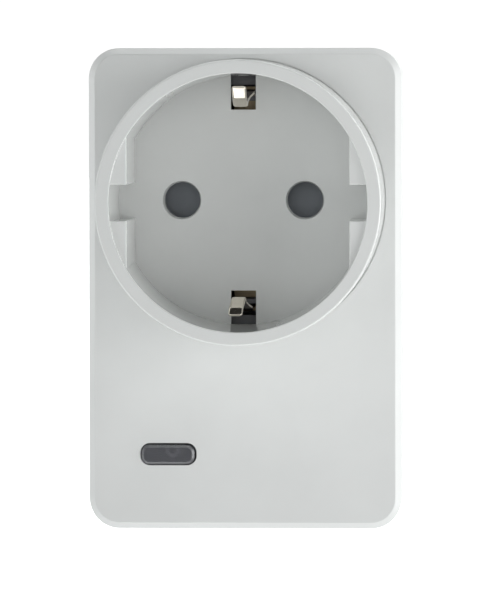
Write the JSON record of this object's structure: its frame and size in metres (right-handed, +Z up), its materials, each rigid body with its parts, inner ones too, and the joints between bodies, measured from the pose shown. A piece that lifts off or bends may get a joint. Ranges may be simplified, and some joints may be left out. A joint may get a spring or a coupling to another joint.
{
  "type": "plug-in power meter",
  "caption": "Plug-in power meter: upright rectangular housing with a round recessed earthed socket in front, a round plug with pins behind, and a small smoked button below the socket.",
  "frame": {"origin": "centre of the plug's engagement face, on the common axis of plug and socket", "axes": "+Y along the plug pins into the wall, -Y towards the user, +Z up, +X to the user's right"},
  "size_m": [0.0486, 0.0854, 0.0746],
  "materials": {
    "housing_white": "satin moulded",
    "rear_white": "satin moulded",
    "insert_white": "polished moulded",
    "plug_white": "satin moulded",
    "carrier_grey": "moulded",
    "shutter_grey": "moulded",
    "button_smoke": "polished translucent",
    "guide_clear": "frosted",
    "led_white": "moulded",
    "nickel": "plated",
    "brass": "stamped",
    "spring_steel": "drawn",
    "screw_steel": "zinc plated",
    "switch_black": "moulded",
    "switch_plunger": "moulded",
    "board_green": "solder mask",
    "chip_black": "moulded",
    "resistor_body": "glazed",
    "ceramic_tan": "fired",
    "shield_tin": "tinned",
    "copper": "etched",
    "pin_gold": "plated",
    "relay_black": "moulded",
    "relay_base": "moulded",
    "winding": "enamelled wire",
    "iron": "plated",
    "capacitor_sleeve": "shrink sleeve",
    "film_yellow": "potted",
    "varistor_blue": "dipped",
    "fuse_brown": "moulded",
    "ferrite": "sintered",
    "shunt_alloy": "rolled",
    "sheet_film": "film",
    "plate_grey": "blank print"
  },
  "bodies": {
    "housing": {"front_cover": "housing_white", "rear_cover": "rear_white", "socket_insert": "insert_white", "plug_body": "plug_white", "plug_pin_line": "nickel", "plug_pin_neutral": "nickel", "plug_earth_contact_top": "nickel", "plug_earth_contact_bottom": "nickel", "contact_carrier": "carrier_grey", "shutter_spring": "spring_steel", "socket_contact_line": "brass", "socket_contact_neutral": "brass", "earth_frame": "brass", "line_in_strap": "brass", "line_out_strap": "brass", "neutral_strap": "brass", "status_led": "led_white", "switch_body": "switch_black", "main_board": "board_green", "metering_chip": "chip_black", "supply_chip": "chip_black", "rectifier": "chip_black", "chip_resistors": "resistor_body", "chip_capacitors": "ceramic_tan", "radio_board": "board_green", "radio_shield": "shield_tin", "radio_chip": "chip_black", "crystal": "shield_tin", "antenna": "copper", "header_pins": "pin_gold", "relay_case": "relay_black", "relay_base": "relay_base", "relay_bobbin": "relay_base", "relay_winding": "winding", "relay_yoke": "iron", "relay_fixed_contact": "iron", "bulk_capacitors": "capacitor_sleeve", "film_capacitor": "film_yellow", "varistor": "varistor_blue", "fuse": "fuse_brown", "choke_core": "ferrite", "choke_winding": "winding", "shunt": "shunt_alloy", "insulating_sheet": "sheet_film", "rating_plate": "plate_grey", "case_screws": "screw_steel", "insert_screws": "screw_steel", "carrier_screws": "screw_steel"},
    "button": {"button_cap": "button_smoke", "light_guide": "guide_clear"},
    "switch": {"switch_plunger": "switch_plunger"},
    "shutter": {"shutter": "shutter_grey"},
    "earth_clip_top": {"earth_clip_top": "nickel"},
    "earth_clip_bottom": {"earth_clip_bottom": "nickel"},
    "leaf_line": {"contact_leaf_line": "brass"},
    "leaf_neutral": {"contact_leaf_neutral": "brass"},
    "armature": {"relay_armature": "iron"}
  },
  "joints": [
    {"name": "button_press", "type": "slide", "parent": "housing", "child": "button", "axis": [0, 1, 0], "range_m": [0, 0.0003], "stiffness_N_per_m": 400, "springref_m": -0.0015},
    {"name": "switch_travel", "type": "slide", "parent": "housing", "child": "switch", "axis": [0, 1, 0], "range_m": [0, 0.0003]},
    {"name": "shutter_turn", "type": "hinge", "parent": "housing", "child": "shutter", "pos_m": [0, -0.0446, 0], "axis": [0, 1, 0], "range_deg": [0, 44], "stiffness_Nm_per_rad": 0.002, "springref_deg": -20.05},
    {"name": "earth_clip_top_flex", "type": "hinge", "parent": "housing", "child": "earth_clip_top", "pos_m": [0, -0.0382, 0.017], "axis": [-1, 0, 0], "range_deg": [0, 3.6], "stiffness_Nm_per_rad": 0.5, "springref_deg": -1.15},
    {"name": "earth_clip_bottom_flex", "type": "hinge", "parent": "housing", "child": "earth_clip_bottom", "pos_m": [0, -0.0382, -0.017], "axis": [1, 0, 0], "range_deg": [0, 3.6], "stiffness_Nm_per_rad": 0.5, "springref_deg": -1.15},
    {"name": "leaf_line_flex", "type": "hinge", "parent": "housing", "child": "leaf_line", "pos_m": [0.00705, -0.0299, 0], "axis": [0, 0, -1], "range_deg": [0, 2.5], "stiffness_Nm_per_rad": 0.5, "springref_deg": -1.15},
    {"name": "leaf_neutral_flex", "type": "hinge", "parent": "housing", "child": "leaf_neutral", "pos_m": [-0.00705, -0.0299, 0], "axis": [0, 0, 1], "range_deg": [0, 2.5], "stiffness_Nm_per_rad": 0.5, "springref_deg": -1.15},
    {"name": "relay_pull", "type": "hinge", "parent": "housing", "child": "armature", "pos_m": [0.0122, -0.0225, -0.0314], "axis": [0, 0, 1], "range_deg": [0, 2.5], "stiffness_Nm_per_rad": 0.02, "springref_deg": -5.73}
  ],
  "couplings": [
    {"joint": "switch_travel", "follows": "button_press", "ratio": 1}
  ]
}
